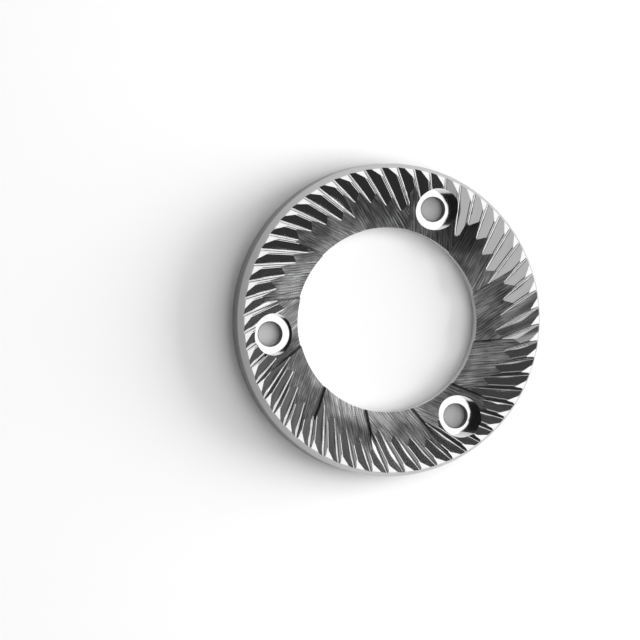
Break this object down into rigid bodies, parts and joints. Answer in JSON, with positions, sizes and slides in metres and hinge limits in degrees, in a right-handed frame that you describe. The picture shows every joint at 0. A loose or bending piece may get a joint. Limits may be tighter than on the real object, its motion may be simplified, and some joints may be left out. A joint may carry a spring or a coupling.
{
  "type": "coffee grinder burr",
  "caption": "Flat ring burr with coarse ramps at the bore, fine swept cutting grooves towards a bevelled rim, and counterbored screw holes through the toothed face.",
  "frame": {"origin": "middle of the flat back face, on the axis of the bore", "axes": "+Z points along the axis of the bore, out of the toothed face; +Y passes through the first screw hole"},
  "size_m": [0.08, 0.08, 0.0092],
  "materials": {
    "steel": "ground and machined hardened steel, bright lands, darker brushed grooves and ramps"
  },
  "bodies": {
    "root": {"burr": "steel"}
  },
  "joints": []
}
